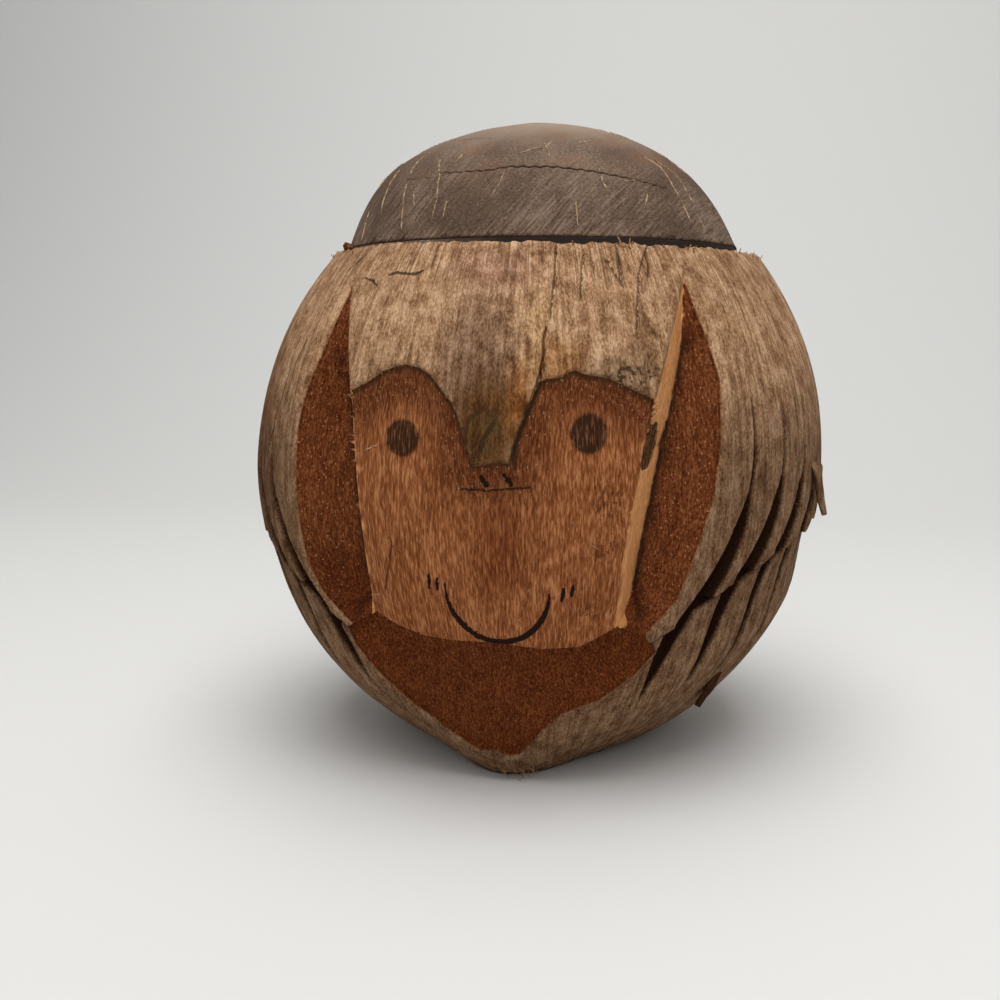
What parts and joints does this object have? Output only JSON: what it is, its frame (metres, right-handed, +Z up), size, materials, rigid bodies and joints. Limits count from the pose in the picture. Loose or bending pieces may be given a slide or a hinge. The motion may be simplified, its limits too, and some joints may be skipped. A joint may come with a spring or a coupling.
{
  "type": "carved coconut cup",
  "caption": "Lidded cup made from a whole dry coconut: the husk is carved as a smiling animal head, the nut inside is the bowl, and its sawn-off crown is the lid.",
  "frame": {"origin": "middle of the flat on the floor that the husk stands on, on the husk's axis", "axes": "+Z up through the lid, the face looks along -Y, +X to the right of someone who looks at the face"},
  "size_m": [0.168, 0.1682, 0.1775],
  "materials": {
    "fibre": "cut coconut fibre, matt red-brown with pale flecks",
    "rind": "dry coconut rind, weathered tan and grey with streaks",
    "shell": "hand-sanded coconut shell, matt dark grey-brown"
  },
  "bodies": {
    "head": {"husk": "fibre", "rind": "rind", "shell_cup": "shell", "peeled_strip": "rind", "base_splinter": "rind", "rim_curl": "fibre"},
    "lid": {"shell_lid": "shell"}
  },
  "joints": [
    {"name": "lid_lift", "type": "slide", "parent": "head", "child": "lid", "axis": [0, 0, 1], "range_m": [0, 0.08]}
  ]
}
